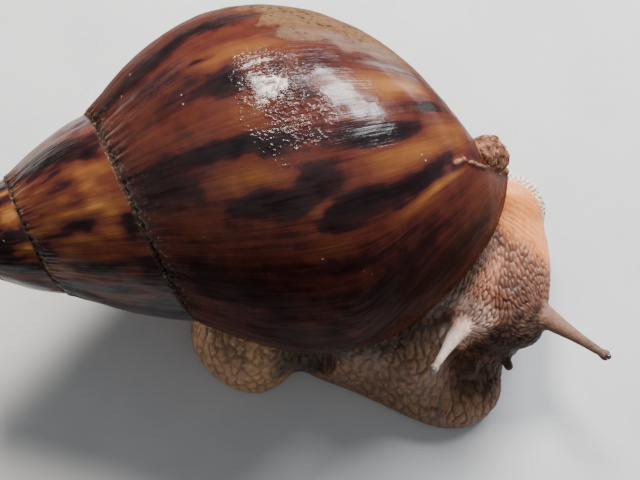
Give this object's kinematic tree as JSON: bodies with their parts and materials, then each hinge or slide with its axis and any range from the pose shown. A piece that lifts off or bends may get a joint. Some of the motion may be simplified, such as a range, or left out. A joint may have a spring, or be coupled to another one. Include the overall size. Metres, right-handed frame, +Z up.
{
  "type": "giant african land snail",
  "caption": "Life-size still model of a giant African land snail: glossy brown and amber spiral shell, pebbled grey-brown body, head turned to its right, eye feelers out.",
  "frame": {"origin": "bottom centre of the bounding box, on the floor under the sole", "axes": "+X from the shell's apex towards the neck and head; +Y to the animal's left; +Z up"},
  "size_m": [0.1226, 0.0722, 0.0682],
  "materials": {
    "shell": "wet, glossy, dark streaks on amber brown, growth lines",
    "mantle": "moist, smooth pale beige",
    "skin": "moist, pebbled with long raised bumps, grey-brown",
    "feelers": "moist, finely pebbled, grey-brown with paler base",
    "eyes": "polished, near black"
  },
  "bodies": {
    "root": {"shell": "shell", "mantle_collar": "mantle", "neck": "skin", "head": "skin", "foot_front": "skin", "foot_middle": "skin", "tail": "skin", "feeler_upper_right": "feelers", "feeler_upper_left": "feelers", "feeler_lower_right": "feelers", "feeler_lower_left": "feelers", "eye_right": "eyes", "eye_left": "eyes"}
  },
  "joints": []
}
